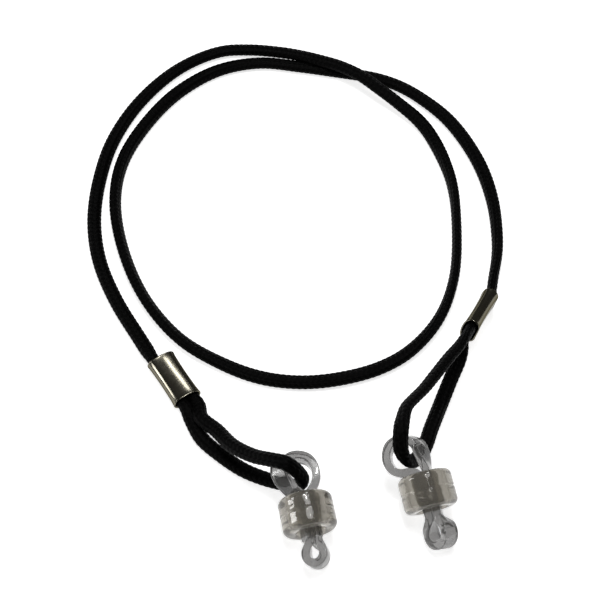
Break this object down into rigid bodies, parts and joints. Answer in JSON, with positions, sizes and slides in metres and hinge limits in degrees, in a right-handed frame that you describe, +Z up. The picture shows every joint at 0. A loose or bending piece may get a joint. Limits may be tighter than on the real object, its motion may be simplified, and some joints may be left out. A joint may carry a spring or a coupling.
{
  "type": "eyeglass retainer strap",
  "caption": "Flattened braided neck cord doubled back at each end into a crimped loop, with a clear elastic temple band and a clear barrel slider bead linked to each loop.",
  "frame": {"origin": "on the table, under the middle of the box round the end fittings (the crimp sleeves, bands and beads, without the cord)", "axes": "+Z up from the table; +X from the left end's fittings towards the right end's; +Y from the fittings towards the far bend of the neck cord"},
  "size_m": [0.0766, 0.1147, 0.0119],
  "materials": {
    "black_braid": "matte",
    "nickel_crimp": "polished",
    "clear_elastomer": "gloss",
    "clear_plastic": "gloss"
  },
  "bodies": {
    "strap": {"cord_main_run": "black_braid", "left_cord_loop": "black_braid", "right_cord_loop": "black_braid", "left_crimp_sleeve": "nickel_crimp", "right_crimp_sleeve": "nickel_crimp"},
    "left_band": {"left_grip_band": "clear_elastomer"},
    "left_bead": {"left_slider_bead": "clear_plastic"},
    "right_band": {"right_grip_band": "clear_elastomer"},
    "right_bead": {"right_slider_bead": "clear_plastic"}
  },
  "joints": [
    {"name": "left_end_swing", "type": "hinge", "parent": "strap", "child": "left_band", "pos_m": [-0.0034, -0.0121, 0.0058], "axis": [0, 0, 1], "range_deg": [-20, 30]},
    {"name": "left_bead_slide", "type": "slide", "parent": "left_band", "child": "left_bead", "axis": [0.1969, -0.9679, -0.1564], "range_m": [0, 0.002]},
    {"name": "right_end_swing", "type": "hinge", "parent": "strap", "child": "right_band", "pos_m": [0.0136, -0.00845, 0.0069], "axis": [0, 0, 1], "range_deg": [-20, 8]},
    {"name": "right_bead_slide", "type": "slide", "parent": "right_band", "child": "right_bead", "axis": [0.2381, -0.9208, -0.309], "range_m": [0, 0.002]}
  ]
}
